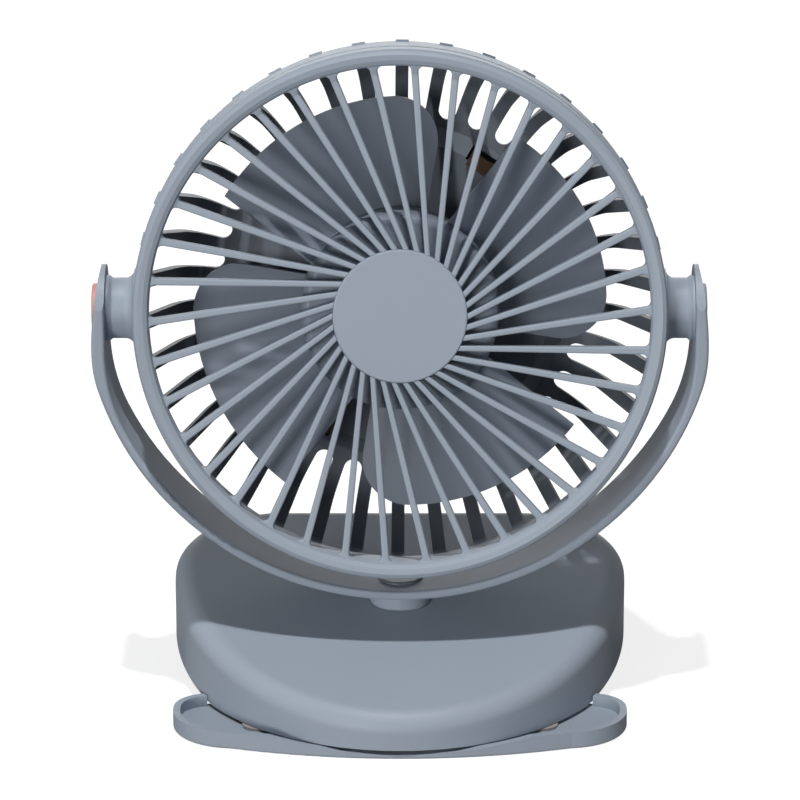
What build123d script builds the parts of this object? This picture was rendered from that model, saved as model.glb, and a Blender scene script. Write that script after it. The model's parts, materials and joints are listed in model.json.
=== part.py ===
from build123d import *
import math
import os

# Clip fan: a caged four-blade fan in a U-shaped yoke, on a battery base that is the upper
# jaw of a clip. Millimetres. The origin is on the standing surface, under the swivel axis.
# +Z is up, -Y is the front, +X is the right-hand side seen from the front.

# ---------------------------------------------------------------- driving dimensions
# clearances
FIT_GAP = 0.05          # radial running clearance of shafts and pins
SEAT_GAP = 0.2          # between pieces of one body that nest
MOVE_GAP = 0.4          # between curved faces that pass each other
PAST = 3.0              # how far a cut runs past the face that it opens
FAR = 200.0             # beyond the whole part, for cuts that cross it
HALF_TURN = 180.0

HEAD_TILT = 8.0         # the head leans back this much at rest, degrees

# front grille (head axis: -Y forward, 0 at the tilt axis)
RIM_R = 73.9            # outer radius of the front rim
RIM_FACE = 4.6          # width of the rim's front face
RIM_FRONT = 18.0        # rim crest in front of the tilt axis
RIM_WALL = 2.3
RIM_STEP = 1.3          # step inside the rim, behind the ribs
SEAM = 9.0              # joint of grille and rear shell, in front of the tilt axis
SEAM_GROOVE = 0.4       # both edges of the joint are chamfered by this
RIB_COUNT = 38
RIB_OFFSET = 8.7        # each rib is tangent to a circle of this radius
RIB_PHASE = -0.8        # direction of the first rib, degrees
RIB_TIP_WIDTH = 2.0
RIB_ROOT_WIDTH = 1.5
RIB_FRONT = 16.2        # rib face in front of the tilt axis
RIB_DEPTH = 2.8
RIB_CORNER = 1.4        # fillet where a rib meets the rim
RIB_ROUND = 0.45        # rounded rib edges
CAP_R = 18.6            # centre disc
CAP_THICK = 1.6
CAP_ROUND = 0.5
CAP_PROUD = 0.2         # the disc stands in front of the ribs
SPIGOT_LENGTH = 2.8     # rear shell's lip inside the rim

# rear shell
BAND_PROUD = 0.2        # the closed band stands out from the rim
BAND_REAR = 5.0         # band's rear edge behind the tilt axis
BAR_PROUD = 0.5         # the bars stand out from the band
BAR_WIDTH = 3.7
BAR_COUNT = 38
BAR_PHASE = 89.5
SHELL_WALL = 2.2
SHELL_REAR = 34.0       # outer rear face behind the tilt axis
SHELL_CORNER = 12.0     # rounding from side to rear
SHOULDER_R = 63.0       # the bars draw in to this at the rear face
BAR_LAP = 1.5           # the bars start this far inside the band
SLOT_INNER_R = 51.0     # where the slots end
RECESS_R = 43.5         # recessed back panel
RECESS_DEPTH = 5.0
WINDOW_SET_OUT = 1.1    # middle of the snap-hook windows outside the recess
WINDOW_WIDTH = 11.0
WINDOW_HEIGHT = 4.2
WINDOW_ANGLE = 57.0
HOOK_THICK = 1.6
HOOK_NOSE = 2.4         # how far the nose of a hook reaches inwards
HOOK_GAP = 0.8          # beside a hook in its window
LUG_THICK = 1.6         # cover's lug behind each hook
COVER_SET_IN = 2.0      # cover's edge inside the slots
COVER_WALL = 1.8
COVER_DOME = 3.0        # rear face of the cover beyond the shell
COVER_SEAT = 1.4        # depth of the cover's seat in the shell
COVER_BEND = 8.0        # the dome's shoulder inside the cover's edge
VENT_R = 1.2            # motor vents in the cover
VENT_CIRCLE = 12.0
VENT_COUNT = 12

# necks and tilt pivots
NECK_R = 8.5
NECK_FLARE = 2.6
NECK_LENGTH = 7.2       # from the rim to the tilt washer
NECK_COLLAR = 0.8       # the neck widens by this where it meets the washer
PIN_R = 4.0
PIN_IN_NECK = 5.6       # length of the pin inside the neck
PIN_BORE_R = 1.6
WASHER_THICK = 0.8
WASHER_R = 9.0

# impeller and motor
HUB_R = 27.6
HUB_FRONT = 9.0         # hub face in front of the tilt axis
HUB_LENGTH = 17.0
HUB_WALL = 1.6
HUB_ROUND = 2.5
BLADE_COUNT = 4
BLADE_TIP_R = 58.2
BLADE_PHASE = 22.0
BLADE_SPAN = 69.0       # degrees, at the tip
BLADE_CORNER = 12.5     # rounding of the trailing outer corner
BLADE_LEAD_CORNER = 7.0
BLADE_ROOT_LOW = 4.0    # the root reaches past the tip's ends by these, degrees
BLADE_ROOT_HIGH = 6.0
BLADE_CHORD_ROOT = 21.0  # half-width of the cambered sheet at root and tip
BLADE_CHORD_TIP = 46.0
BLADE_FRONT = 7.5       # leading edge in front of the tilt axis
BLADE_REAR = 14.0
BLADE_THICK = 1.6
BLADE_CAMBER = 3.2
CAN_R = 16.0
CAN_WALL = 1.0
CAN_LENGTH = 12.0
MAGNET_WALL = 1.8
AIR_GAP = 0.6           # between magnet and stator
STATOR_TEETH = 9
STATOR_LENGTH = 7.0
TOOTH_WIDTH = 2.4
COIL_BUILD = 0.7
SHAFT_R = 1.5
TUBE_R = 5.5            # bearing tube
BEARING_R = 4.0
BEARING_LENGTH = 4.0
TUBE_SET_IN = 3.8       # front end of the bearing tube behind the can's face
MOUNT_R = 20.0
MOUNT_THICK = 2.0
MOUNT_SCREW_R = 1.3
MOUNT_SCREW_SET_IN = 3.5
MOUNT_SCREW_COUNT = 3
MOUNT_SCREW_PHASE = 30.0
SCREW_HEAD_SHARE = 1.9  # head radius over shank radius
SCREW_SLOT = 0.6        # width of a screw's slot
WIRE_HOLE_R = 2.5
WIRE_HOLE_Z = -10.0
BOARD_THICK = 1.2
BOARD_R = 13.4
BOARD_STAND = 3.0       # motor board in front of the mount's flange
CHIP_SIZE = 4.0         # motor driver chips
CHIP_CIRCLE = 8.6
POST_CIRCLE = 11.6      # posts that carry the motor board
COLLAR_WALL = 1.6       # impeller's collar round the rotor
FIN_THICK = 1.4
FIN_COUNT = 6
CAN_VENT_R = 1.8
CAN_VENT_CIRCLE = 9.5
CAN_VENT_COUNT = 6

# yoke
YOKE_RISE = 5.1         # arc centre above the tilt axis
YOKE_WALL = 2.6
YOKE_DEPTH = 24.0
YOKE_EDGE = 0.9         # rounded edges of the band
EAR_R = 12.3
EAR_THICK = 3.3         # ear level with the pivot
EAR_TIP_THICK = 1.3     # ear at its top
EAR_SET_IN = 2.8        # ear's outer face inside the yoke's outer arc
EAR_FOOT = 9.0          # ear's inner face ends this far below the tilt axis
BLEND_OUT = 20.0        # outer and inner arcs start this far below the tilt axis
BLEND_IN = 32.0
EAR_LEAN = 0.25         # the ear's outer face leans inwards by this at its top
BOSS_R = 8.8            # swivel boss under the yoke
BOSS_HEIGHT = 4.4
BOSS_ROUND = 0.6
BUTTON_R = 6.9
BUTTON_PROUD = 0.6
BUTTON_THICK = 1.8
BUTTON_ROUND = 0.5
BUTTON_TRAVEL = 0.4
SWITCH_BOARD = 0.2      # flexible switch board under the button
SWITCH_DOME_R = 2.5
SWITCH_DOME = 0.15

# swivel
SEAT_SINK = 1.4         # swivel seat below the crown of the base
SEAT_THICK = 2.6
SEAT_RIM = 3.0          # seat's thicker wall outside the boss
POST_SINK = 1.0         # post head let into the yoke
POST_END = 1.0          # post beyond the nut
POST_BORE_R = 1.8       # wire way through the post
POST_R = 3.6
POST_HEAD_R = 6.5
POST_HEAD = 1.8
NUT_R = 6.0
NUT_THICK = 3.0
SPRING_WASHER_THICK = 1.0

# base (upper jaw)
BASE_HALF_WIDTH = 65.1
BASE_NOSE = 57.5        # front tip in front of the swivel axis
BASE_WIDEST = 22.0      # where the nose ellipse meets the rear corners
BASE_REAR = 52.0
BASE_WALL = 2.2
BASE_ROUND = 6.0        # roundover of the top edge
NOSE_TOP = 12.0         # top surface height at the nose, middle and rear
MIDDLE_TOP = 26.6
REAR_TOP = 36.0
TOP_OVERRUN = 4.0       # the top line is drawn this far past nose and rear
NOSE_DROP = 1.1         # and falls and rises by these there
REAR_LIFT = 0.6
LIP_OVER_PAD = 0.2      # lower edge at the nose above the jaw's pad
LIP_FLAT_TO = 24.0      # the lower edge starts to rise here, in front of the axis
SKIRT_HEIGHT = 9.3      # lower edge at the sides and rear, level with the floor
SKIRT_FROM = 17.3       # the lower edge is level from here, behind the axis
FLOOR_THICK = 1.8
FLOOR_NOSE = 47.0       # front edge of the base floor
LIP_PAD_WIDTH = 70.0
LIP_LEDGE = 1.4         # the ledge behind the lip, above the lip's lower edge
LEDGE_THICK = 1.6
LIP_PAD_SET_IN = 0.8    # lip pad behind the ledge's front

# inside the base
CELL_R = 9.2
CELL_LENGTH = 65.0
CELL_Y = 32.0
CELL_GAP = 0.1          # under the cell
CELL_TIP = 1.0          # its positive end
CRADLE_THICK = 4.0
CRADLE_SET_IN = 6.0
CONTROL_BOARD_WIDTH = 44.0
CONTROL_BOARD_DEPTH = 24.0
CONTROL_BOARD_Y = -17.0
CONTROL_STAND = 2.0     # control board above the floor
CONTROL_CHIP = 8.0
CONTROL_COIL = 6.0
BOARD_FOOT_R = 1.5
CHARGE_BOARD_WIDTH = 32.0
CHARGE_BOARD_HEIGHT = 12.0
SOCKET_WIDTH = 9.0
SOCKET_HEIGHT = 3.3
SOCKET_DEPTH = 7.0
SOCKET_Z = 19.0
LIGHT_R = 1.5
LIGHT_X = 10.0
BASE_SCREW_R = 1.4
BASE_SCREW_X = 44.0
BASE_SCREW_FRONT = -14.0
BASE_SCREW_REAR = 24.0
SCREW_BOSS_R = 3.4
SCREW_LENGTH = 8.0
SCREW_HEAD = 0.9

# lower jaw
JAW_SIDE_SET_IN = 1.6   # the jaw's sides inside the base's greatest width
JAW_FRONT_SET_IN = 0.5  # jaw's front behind the base's nose
JAW_CORNER_X = 47.5     # the front arc runs from -X to +X of this
JAW_CORNER_Y = 49.5
JAW_SIDE_FRONT = 33.0
JAW_SIDE_REAR = 30.5
JAW_REAR_CORNER = 10.0
JAW_FLOOR = 1.8
JAW_RIM = 5.0
JAW_RIM_WIDTH = 2.0
JAW_ROUND = 0.8         # rounded lower edge
DIP_HALF_WIDTH = 36.0   # the rim's front wall sinks towards its middle
DIP_HEIGHT = 1.4        # height of the wall there
TONGUE_HALF_WIDTH = 40.0
TONGUE_SET_IN = 2.0     # tongue's end inside the base's rear
TONGUE_CORNER = 8.0
PAD_HALF_WIDTH = 44.0
PAD_FRONT = 41.0
PAD_REAR = 20.0
PAD_THICK = 0.8
PAD_CORNER = 4.0
PAD_GROOVES = 5
PAD_GROOVE_WIDTH = 1.0
PAD_GROOVE_DEPTH = 0.3
FOOT_THICK = 0.8
FOOT_WIDTH = 70.0
FOOT_DEPTH = 7.0
FOOT_FRONT_SET_IN = 3.0
FOOT_REAR_SET_IN = 9.0

# clip hinge
HINGE_SET_IN = 9.0      # hinge axis in front of the base's rear
HINGE_DROP = 3.2        # hinge axis below the base's floor
HINGE_PIN_R = 1.5
HINGE_LUG_R = 3.4
LUG_X = 22.0            # base lugs, middle
LUG_WIDTH = 6.0
CHEEK_X = 29.0          # jaw cheeks, middle
CHEEK_WIDTH = 6.0
CHEEK_R = 2.8
SPRING_OUTER_R = 2.8
SPRING_INNER_R = 1.8
SPRING_WIDTH = 20.0
SPRING_LEG = 14.0
SPRING_WIRE = 1.2

# ---------------------------------------------------------------- derived sizes
OPENING_R = RIM_R - RIM_FACE
BAND_R = RIM_R + BAND_PROUD
BAR_R = BAND_R + BAR_PROUD
NECK_END = RIM_R + NECK_LENGTH
PIN_END = NECK_END - PIN_IN_NECK
EAR_INNER = NECK_END + WASHER_THICK
EAR_TIP = EAR_INNER + EAR_TIP_THICK
EAR_BELLY = EAR_INNER + EAR_THICK
YOKE_R = EAR_BELLY + EAR_SET_IN
SEAT_HEIGHT = MIDDLE_TOP - SEAT_SINK
YOKE_BOTTOM = SEAT_HEIGHT + BOSS_HEIGHT
PIVOT_HEIGHT = YOKE_BOTTOM + YOKE_R - YOKE_RISE
YOKE_FLOOR = YOKE_BOTTOM + YOKE_WALL
POST_TOP = YOKE_FLOOR - POST_SINK
SHELL_INNER_R = BAND_R - SHELL_WALL
SHELL_FRONT_FACE = SHELL_REAR - SHELL_WALL
PANEL_REAR = SHELL_REAR - RECESS_DEPTH
PANEL_FRONT = PANEL_REAR - SHELL_WALL
MOUNT_FRONT = PANEL_FRONT - MOUNT_THICK
MOUNT_SCREW_CIRCLE = MOUNT_R - MOUNT_SCREW_SET_IN
WINDOW_R = RECESS_R + WINDOW_SET_OUT
COVER_R = SLOT_INNER_R - COVER_SET_IN
CAN_FRONT = HUB_FRONT - HUB_WALL
MAGNET_R = CAN_R - CAN_WALL
STATOR_R = MAGNET_R - MAGNET_WALL - AIR_GAP
TUBE_FRONT = TUBE_SET_IN - CAN_FRONT
STATOR_FRONT = TUBE_FRONT + 0.6
TOOTH_STEP = 360.0 / STATOR_TEETH
BUTTON_FACE = EAR_BELLY + BUTTON_PROUD
BUTTON_BACK = BUTTON_FACE - BUTTON_THICK
POCKET_BOTTOM = BUTTON_BACK - BUTTON_TRAVEL - SWITCH_DOME - SWITCH_BOARD - FIT_GAP
FLOOR_TOP = SKIRT_HEIGHT + FLOOR_THICK
HINGE_Y = BASE_REAR - HINGE_SET_IN
HINGE_Z = SKIRT_HEIGHT - HINGE_DROP
JAW_HALF_WIDTH = BASE_HALF_WIDTH - JAW_SIDE_SET_IN
JAW_FRONT = BASE_NOSE - JAW_FRONT_SET_IN
TONGUE_REAR = BASE_REAR - TONGUE_SET_IN
LIP_HEIGHT = JAW_FLOOR + PAD_THICK + LIP_OVER_PAD
LEDGE_HEIGHT = LIP_HEIGHT + LIP_LEDGE
BOARD_BACK = BASE_REAR - SOCKET_DEPTH - 0.1


# ---------------------------------------------------------------- helpers
def write(name, shape):
    """Write one sub-part."""
    solids = shape.solids()
    body = solids[0] if len(solids) == 1 else Compound(children=list(solids))
    body.label = name
    export_step(body, f"parts/{name}.step")
    print(f"{name}: {len(solids)} solid(s), {body.volume:.0f} mm3")


def in_head(shape):
    """Carry a shape from head coordinates to its place, leaning back."""
    return Pos(0, 0, PIVOT_HEIGHT) * Rot(X=-HEAD_TILT) * shape


def ring_about_y(points):
    """Revolve a closed outline of (radius, y) points about the head axis."""
    outline = make_face(Polyline(*points, close=True))
    return revolve(outline, Axis.Y, 360)


def disc_y(radius, y_from, y_to, x=0.0, z=0.0):
    """A round disc or rod along Y."""
    disc = Plane.XZ * Circle(radius)
    return Pos(x, y_to, z) * extrude(disc, y_to - y_from)


def rod_x(radius, x_from, x_to, y=0.0, z=0.0):
    """A round rod along X."""
    disc = Plane.YZ * Circle(radius)
    return Pos(x_from, y, z) * extrude(disc, x_to - x_from)


def rod_z(radius, z_from, z_to, x=0.0, y=0.0):
    """A round rod along Z."""
    return Pos(x, y, z_from) * extrude(Circle(radius), z_to - z_from)


def block(x_from, x_to, y_from, y_to, z_from, z_to):
    """A box between two corners."""
    size = Box(x_to - x_from, y_to - y_from, z_to - z_from)
    return Pos((x_from + x_to) / 2, (y_from + y_to) / 2, (z_from + z_to) / 2) * size


def around_head(shape, count, phase=0.0):
    """Copies of a shape about the head axis, turning from +X towards +Z."""
    step = 360.0 / count
    return [Rot(Y=-(phase + step * i)) * shape for i in range(count)]


def extrude_y(face, y_from, y_to):
    """Extrude a face drawn in the XZ plane from y_from to y_to."""
    return Pos(0, y_to, 0) * extrude(Plane.XZ * face, y_to - y_from)


# ---------------------------------------------------------------- front grille
def rib_outline():
    """One straight rib in the XZ plane, from the centre seat to the rim."""
    inner = math.sqrt((CAP_R - 1.2) ** 2 - RIB_OFFSET ** 2)
    outer = math.sqrt((OPENING_R + 1.0) ** 2 - RIB_OFFSET ** 2)
    root = RIB_ROOT_WIDTH / 2
    tip = RIB_TIP_WIDTH / 2
    return make_face(Polyline(
        (inner, -RIB_OFFSET - root), (outer, -RIB_OFFSET - tip),
        (outer, -RIB_OFFSET + tip), (inner, -RIB_OFFSET + root), close=True))


def make_front_grille():
    outer_wall = RIM_R - RIM_WALL
    rib_back = -RIB_FRONT + RIB_DEPTH
    section = [
        (RIM_R - SEAM_GROOVE, -SEAM), (RIM_R, -SEAM - SEAM_GROOVE),
        (RIM_R, -RIM_FRONT + 1.6), (RIM_R - 0.5, -RIM_FRONT + 0.6),
        (RIM_R - 1.5, -RIM_FRONT), (OPENING_R + 1.6, -RIM_FRONT + 0.2),
        (OPENING_R + 0.5, -RIM_FRONT + 0.8), (OPENING_R, -RIM_FRONT + 1.8),
        (OPENING_R, rib_back), (outer_wall, rib_back + RIM_STEP), (outer_wall, -SEAM)]
    rim = ring_about_y(section)
    ribs = Sketch() + [Rot(Z=RIB_PHASE + 360.0 / RIB_COUNT * i) * rib_outline()
                       for i in range(RIB_COUNT)]
    web = (Circle(OPENING_R + 1.2) - Circle(OPENING_R)) + ribs + Circle(CAP_R - 0.6)
    corners = [v for v in web.vertices()
               if abs(math.hypot(v.X, v.Y) - OPENING_R) < 0.05]
    web = fillet(corners, RIB_CORNER)
    web = extrude_y(web, -RIB_FRONT, rib_back)
    edges = [e for e in web.edges().filter_by(GeomType.LINE)
             if abs(e.center().Y + RIB_FRONT) < 0.01]
    web = fillet(edges, RIB_ROUND)
    seat = disc_y(CAP_R + FIT_GAP, -RIM_FRONT, -RIB_FRONT - CAP_PROUD + CAP_THICK)
    return in_head(rim + (web - seat))


def make_grille_cap():
    front = -RIB_FRONT - CAP_PROUD
    cap = disc_y(CAP_R, front, front + CAP_THICK)
    edge = cap.edges().filter_by(GeomType.CIRCLE).sort_by(Axis.Y)[0]
    return in_head(fillet(edge, CAP_ROUND))


# ---------------------------------------------------------------- rear shell
def neck(side):
    """The neck that carries the head, on one side (+1 right, -1 left)."""
    flare = NECK_R + NECK_FLARE
    root = BAND_R - 1.4
    start = RIM_R + 0.1
    with BuildPart() as spool:
        with BuildSketch(Plane.XZ):
            with BuildLine():
                Line((root, 0), (root, flare))
                Line((root, flare), (start, flare))
                RadiusArc((start, flare), (start + NECK_FLARE, NECK_R), -NECK_FLARE)
                Line((start + NECK_FLARE, NECK_R), (NECK_END - 1.0, NECK_R))
                Line((NECK_END - 1.0, NECK_R), (NECK_END, NECK_R + NECK_COLLAR))
                Line((NECK_END, NECK_R + NECK_COLLAR), (NECK_END, 0))
                Line((NECK_END, 0), (root, 0))
            make_face()
        revolve(axis=Axis.X)
    solid = spool.part - rod_x(PIN_R + FIT_GAP, PIN_END - 0.5, NECK_END + PAST)
    return solid if side > 0 else mirror(solid, Plane.YZ)


def bar_profile():
    """One bar's side view: drawing in from the band to the shoulder, then over the rear face."""
    slope = math.atan2(BAR_R - SHOULDER_R, SHELL_REAR - BAND_REAR)
    wall = BAR_R - SHELL_INNER_R
    inner_shoulder = SHOULDER_R + SHELL_WALL * math.tan(slope) - wall / math.cos(slope)
    inner_bend = BAND_REAR - wall * math.tan(slope / 2)
    reach = SLOT_INNER_R - 2.0
    start = BAND_REAR - BAR_LAP
    profile = make_face(Polyline(
        (BAR_R, start), (BAR_R, BAND_REAR), (SHOULDER_R, SHELL_REAR), (reach, SHELL_REAR),
        (reach, SHELL_FRONT_FACE), (inner_shoulder, SHELL_FRONT_FACE), (SHELL_INNER_R, inner_bend),
        (SHELL_INNER_R, start), close=True))
    profile = fillet(nearest_corner(profile, SHOULDER_R, SHELL_REAR), SHELL_CORNER)
    return fillet(nearest_corner(profile, inner_shoulder, SHELL_FRONT_FACE), SHELL_CORNER - SHELL_WALL)


def nearest_corner(face, x, y):
    """The corner of a flat face nearest to a point."""
    return min(face.vertices(), key=lambda v: math.hypot(v.X - x, v.Y - y))


def make_rear_shell():
    spigot_r = RIM_R - RIM_WALL - SEAT_GAP
    band = ring_about_y([
        (BAND_R - SEAM_GROOVE, -SEAM), (BAND_R, -SEAM + SEAM_GROOVE), (BAND_R, BAND_REAR),
        (SHELL_INNER_R, BAND_REAR),
        (SHELL_INNER_R - 2.0, -SEAM + 0.5), (spigot_r - 1.6, -SEAM - SPIGOT_LENGTH),
        (spigot_r, -SEAM - SPIGOT_LENGTH), (spigot_r, -SEAM)])
    face = SHELL_FRONT_FACE
    rim = SLOT_INNER_R + 2.2
    seat_r = COVER_R + SEAT_GAP
    back = ring_about_y([
        (0, PANEL_FRONT), (RECESS_R, PANEL_FRONT), (SLOT_INNER_R - 2.6, face),
        (rim, face), (rim, SHELL_REAR), (seat_r, SHELL_REAR),
        (seat_r, SHELL_REAR - COVER_SEAT), (RECESS_R + 0.8, PANEL_REAR), (0, PANEL_REAR)])
    slot_end_r = (2 * math.pi * rim / BAR_COUNT - BAR_WIDTH) / 2
    half_pitch = HALF_TURN / BAR_COUNT
    notch = disc_y(slot_end_r, face - PAST, SHELL_REAR + PAST, x=SLOT_INNER_R + slot_end_r)
    bar = extrude(bar_profile(), BAR_WIDTH / 2, both=True)
    shell = back - around_head(notch, BAR_COUNT, BAR_PHASE + half_pitch)
    shell = shell + (around_head(bar, BAR_COUNT, BAR_PHASE) + [band])
    rim_room = disc_y(RIM_R + 0.1, -RIM_FRONT, -SEAM)
    for side in (1, -1):
        shell = shell + (neck(side) - rim_room)
    window = block(WINDOW_R - WINDOW_HEIGHT / 2, WINDOW_R + WINDOW_HEIGHT / 2,
                   PANEL_FRONT - PAST, SHELL_REAR + PAST, -WINDOW_WIDTH / 2, WINDOW_WIDTH / 2)
    shell = shell - around_head(window, 2, WINDOW_ANGLE)
    screws = disc_y(MOUNT_SCREW_R, PANEL_FRONT - PAST, PANEL_REAR + PAST, x=MOUNT_SCREW_CIRCLE)
    shell = shell - around_head(screws, MOUNT_SCREW_COUNT, MOUNT_SCREW_PHASE)
    shell = shell - disc_y(WIRE_HOLE_R, PANEL_FRONT - PAST, PANEL_REAR + PAST, z=WIRE_HOLE_Z)
    return in_head(shell)


def make_latch_hooks():
    """Two snap hooks of the rear cover, standing in the shell's windows."""
    thick = HOOK_THICK / 2
    half = WINDOW_WIDTH / 2 - HOOK_GAP
    catch = PANEL_FRONT - SEAT_GAP
    stem = block(WINDOW_R - thick, WINDOW_R + thick, catch - 1.2, SHELL_REAR - SEAT_GAP, -half, half)
    nose = block(WINDOW_R - thick - HOOK_NOSE, WINDOW_R + thick, catch - 2.2, catch, -half, half)
    return in_head(Compound(children=around_head(stem + nose, 2, WINDOW_ANGLE)))


def make_rear_cover():
    rear = SHELL_REAR + COVER_DOME
    skirt = COVER_R - COVER_WALL
    edge = SHELL_REAR - COVER_SEAT + SEAT_GAP
    cover = ring_about_y([
        (0, rear - COVER_WALL), (COVER_R - COVER_BEND - 1.0, rear - COVER_WALL - 0.6),
        (skirt, edge + 0.8), (skirt, edge), (COVER_R, edge), (COVER_R, SHELL_REAR + 0.2),
        (COVER_R - 1.4, SHELL_REAR + 1.4), (COVER_R - COVER_BEND, rear - 0.5), (0, rear)])
    vent = disc_y(VENT_R, SHELL_REAR, rear + PAST, x=VENT_CIRCLE)
    cover = cover - around_head(vent, VENT_COUNT)
    back = WINDOW_R - HOOK_THICK / 2
    half = WINDOW_WIDTH / 2 - HOOK_GAP
    lug = block(back - LUG_THICK, back, SHELL_REAR - 2.0, SHELL_REAR + 1.0, -half, half)
    return in_head(cover + around_head(lug, 2, WINDOW_ANGLE))


# ---------------------------------------------------------------- motor
def make_motor_mount():
    flange = disc_y(MOUNT_R, MOUNT_FRONT, PANEL_FRONT)
    tube = disc_y(TUBE_R, TUBE_FRONT, PANEL_FRONT)
    bore = disc_y(BEARING_R, TUBE_FRONT - PAST, MOUNT_FRONT + 0.5)
    screws = disc_y(MOUNT_SCREW_R + FIT_GAP, MOUNT_FRONT - PAST, PANEL_FRONT + PAST, x=MOUNT_SCREW_CIRCLE)
    shape = flange + tube - bore - around_head(screws, MOUNT_SCREW_COUNT, MOUNT_SCREW_PHASE)
    return in_head(shape - disc_y(WIRE_HOLE_R, MOUNT_FRONT - PAST, PANEL_FRONT + PAST, z=WIRE_HOLE_Z))


def make_motor_screws():
    circle = MOUNT_SCREW_CIRCLE
    reach = MOUNT_SCREW_R * SCREW_HEAD_SHARE
    shank = disc_y(MOUNT_SCREW_R, MOUNT_FRONT, PANEL_REAR, x=circle)
    head = disc_y(reach, MOUNT_FRONT - 1.5, MOUNT_FRONT, x=circle)
    slot = block(circle - reach, circle + reach, MOUNT_FRONT - 2, MOUNT_FRONT - 0.9,
                 -SCREW_SLOT / 2, SCREW_SLOT / 2)
    screws = around_head(shank + head - slot, MOUNT_SCREW_COUNT, MOUNT_SCREW_PHASE)
    return in_head(Compound(children=screws))


def make_stator_core():
    front = STATOR_FRONT
    rear = front + STATOR_LENGTH
    yoke_ring = disc_y(TUBE_R + 2.2, front, rear)
    tooth = block(TUBE_R + 1.5, STATOR_R - 0.8, front, rear, -TOOTH_WIDTH / 2, TOOTH_WIDTH / 2)
    shoe_ring = disc_y(STATOR_R, front, rear) - disc_y(STATOR_R - 1.2, front - PAST, rear + PAST)
    gap = block(STATOR_R - 2, STATOR_R + 1, front - PAST, rear + PAST, -0.7, 0.7)
    shoe_ring = shoe_ring - around_head(gap, STATOR_TEETH, TOOTH_STEP / 2)
    core = yoke_ring + around_head(tooth, STATOR_TEETH) + shoe_ring
    return in_head(core - disc_y(TUBE_R, front - PAST, rear + PAST))


def make_stator_coils():
    """One solid winding round each tooth."""
    front = STATOR_FRONT - FIT_GAP
    rear = STATOR_FRONT + STATOR_LENGTH + FIT_GAP
    inner = TUBE_R + 2.3
    outer = STATOR_R - 1.6
    wide = TOOTH_WIDTH / 2 + FIT_GAP
    build = COIL_BUILD
    loop = block(inner, outer, front - build, rear + build, -wide - build, wide + build)
    loop = loop - block(inner - PAST, outer + PAST, front, rear, -wide, wide)
    return in_head(Compound(children=around_head(loop, STATOR_TEETH)))


def make_motor_board():
    rear = MOUNT_FRONT - BOARD_STAND
    front = rear - BOARD_THICK
    half = CHIP_SIZE / 2
    ring = disc_y(BOARD_R, front, rear) - disc_y(TUBE_R, front - PAST, rear + PAST)
    chip = block(CHIP_CIRCLE - half, CHIP_CIRCLE + half, front - 1.0, front, -half, half)
    posts = disc_y(1.2, rear, MOUNT_FRONT, z=POST_CIRCLE)
    return in_head(ring + around_head(chip, 3, 90.0) + around_head(posts, 3))


def make_motor_bearings():
    first = disc_y(BEARING_R, TUBE_FRONT, TUBE_FRONT + BEARING_LENGTH)
    last_end = MOUNT_FRONT - 2.0
    last = disc_y(BEARING_R, last_end - BEARING_LENGTH, last_end)
    bore = disc_y(SHAFT_R + FIT_GAP, TUBE_FRONT - PAST, last_end + PAST)
    return in_head(Compound(children=[first - bore, last - bore]))


def make_motor_shaft():
    return in_head(disc_y(SHAFT_R, -CAN_FRONT, MOUNT_FRONT - 0.4))


def make_shaft_clip():
    end = MOUNT_FRONT - 1.0
    clip = disc_y(SHAFT_R + 1.2, end - 0.6, end) - disc_y(SHAFT_R, end - PAST, end + PAST)
    return in_head(clip)


def make_rotor_can():
    front = -CAN_FRONT
    floor = front + CAN_WALL
    can = disc_y(CAN_R, front, front + CAN_LENGTH)
    can = can - disc_y(MAGNET_R, floor, front + CAN_LENGTH + PAST)
    boss = disc_y(3.4, front, floor + 1.2)
    vent = disc_y(CAN_VENT_R, front - PAST, floor + 1.0, x=CAN_VENT_CIRCLE)
    shape = can + boss - disc_y(SHAFT_R, front - PAST, floor + PAST)
    return in_head(shape - around_head(vent, CAN_VENT_COUNT))


def make_rotor_magnet():
    front = TUBE_FRONT + SEAT_GAP
    rear = front + STATOR_LENGTH + 0.8
    ring = disc_y(MAGNET_R, front, rear)
    return in_head(ring - disc_y(MAGNET_R - MAGNET_WALL, front - PAST, rear + PAST))


# ---------------------------------------------------------------- impeller
def blade_strip(radius, half_width):
    """A cambered strip across one blade, square to its radius."""
    face_plane = Plane(origin=(radius, 0, 0), x_dir=(0, 0, 1), z_dir=(1, 0, 0))
    half = BLADE_THICK / 2
    front, rear = -BLADE_FRONT, BLADE_REAR
    middle = (front + rear) / 2 + BLADE_CAMBER
    # local x is +Z (towards the leading side), local y is -Y (forward)
    with BuildSketch(face_plane) as sketch:
        with BuildLine():
            ThreePointArc((half_width, -front + half), (0, -middle + half), (-half_width, -rear + half))
            Line((-half_width, -rear + half), (-half_width, -rear - half))
            ThreePointArc((-half_width, -rear - half), (0, -middle - half), (half_width, -front - half))
            Line((half_width, -front - half), (half_width, -front + half))
        make_face()
    return sketch.sketch


def on_circle(radius, degrees):
    """A point on a circle about the head axis."""
    return (radius * math.cos(math.radians(degrees)), radius * math.sin(math.radians(degrees)))


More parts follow.
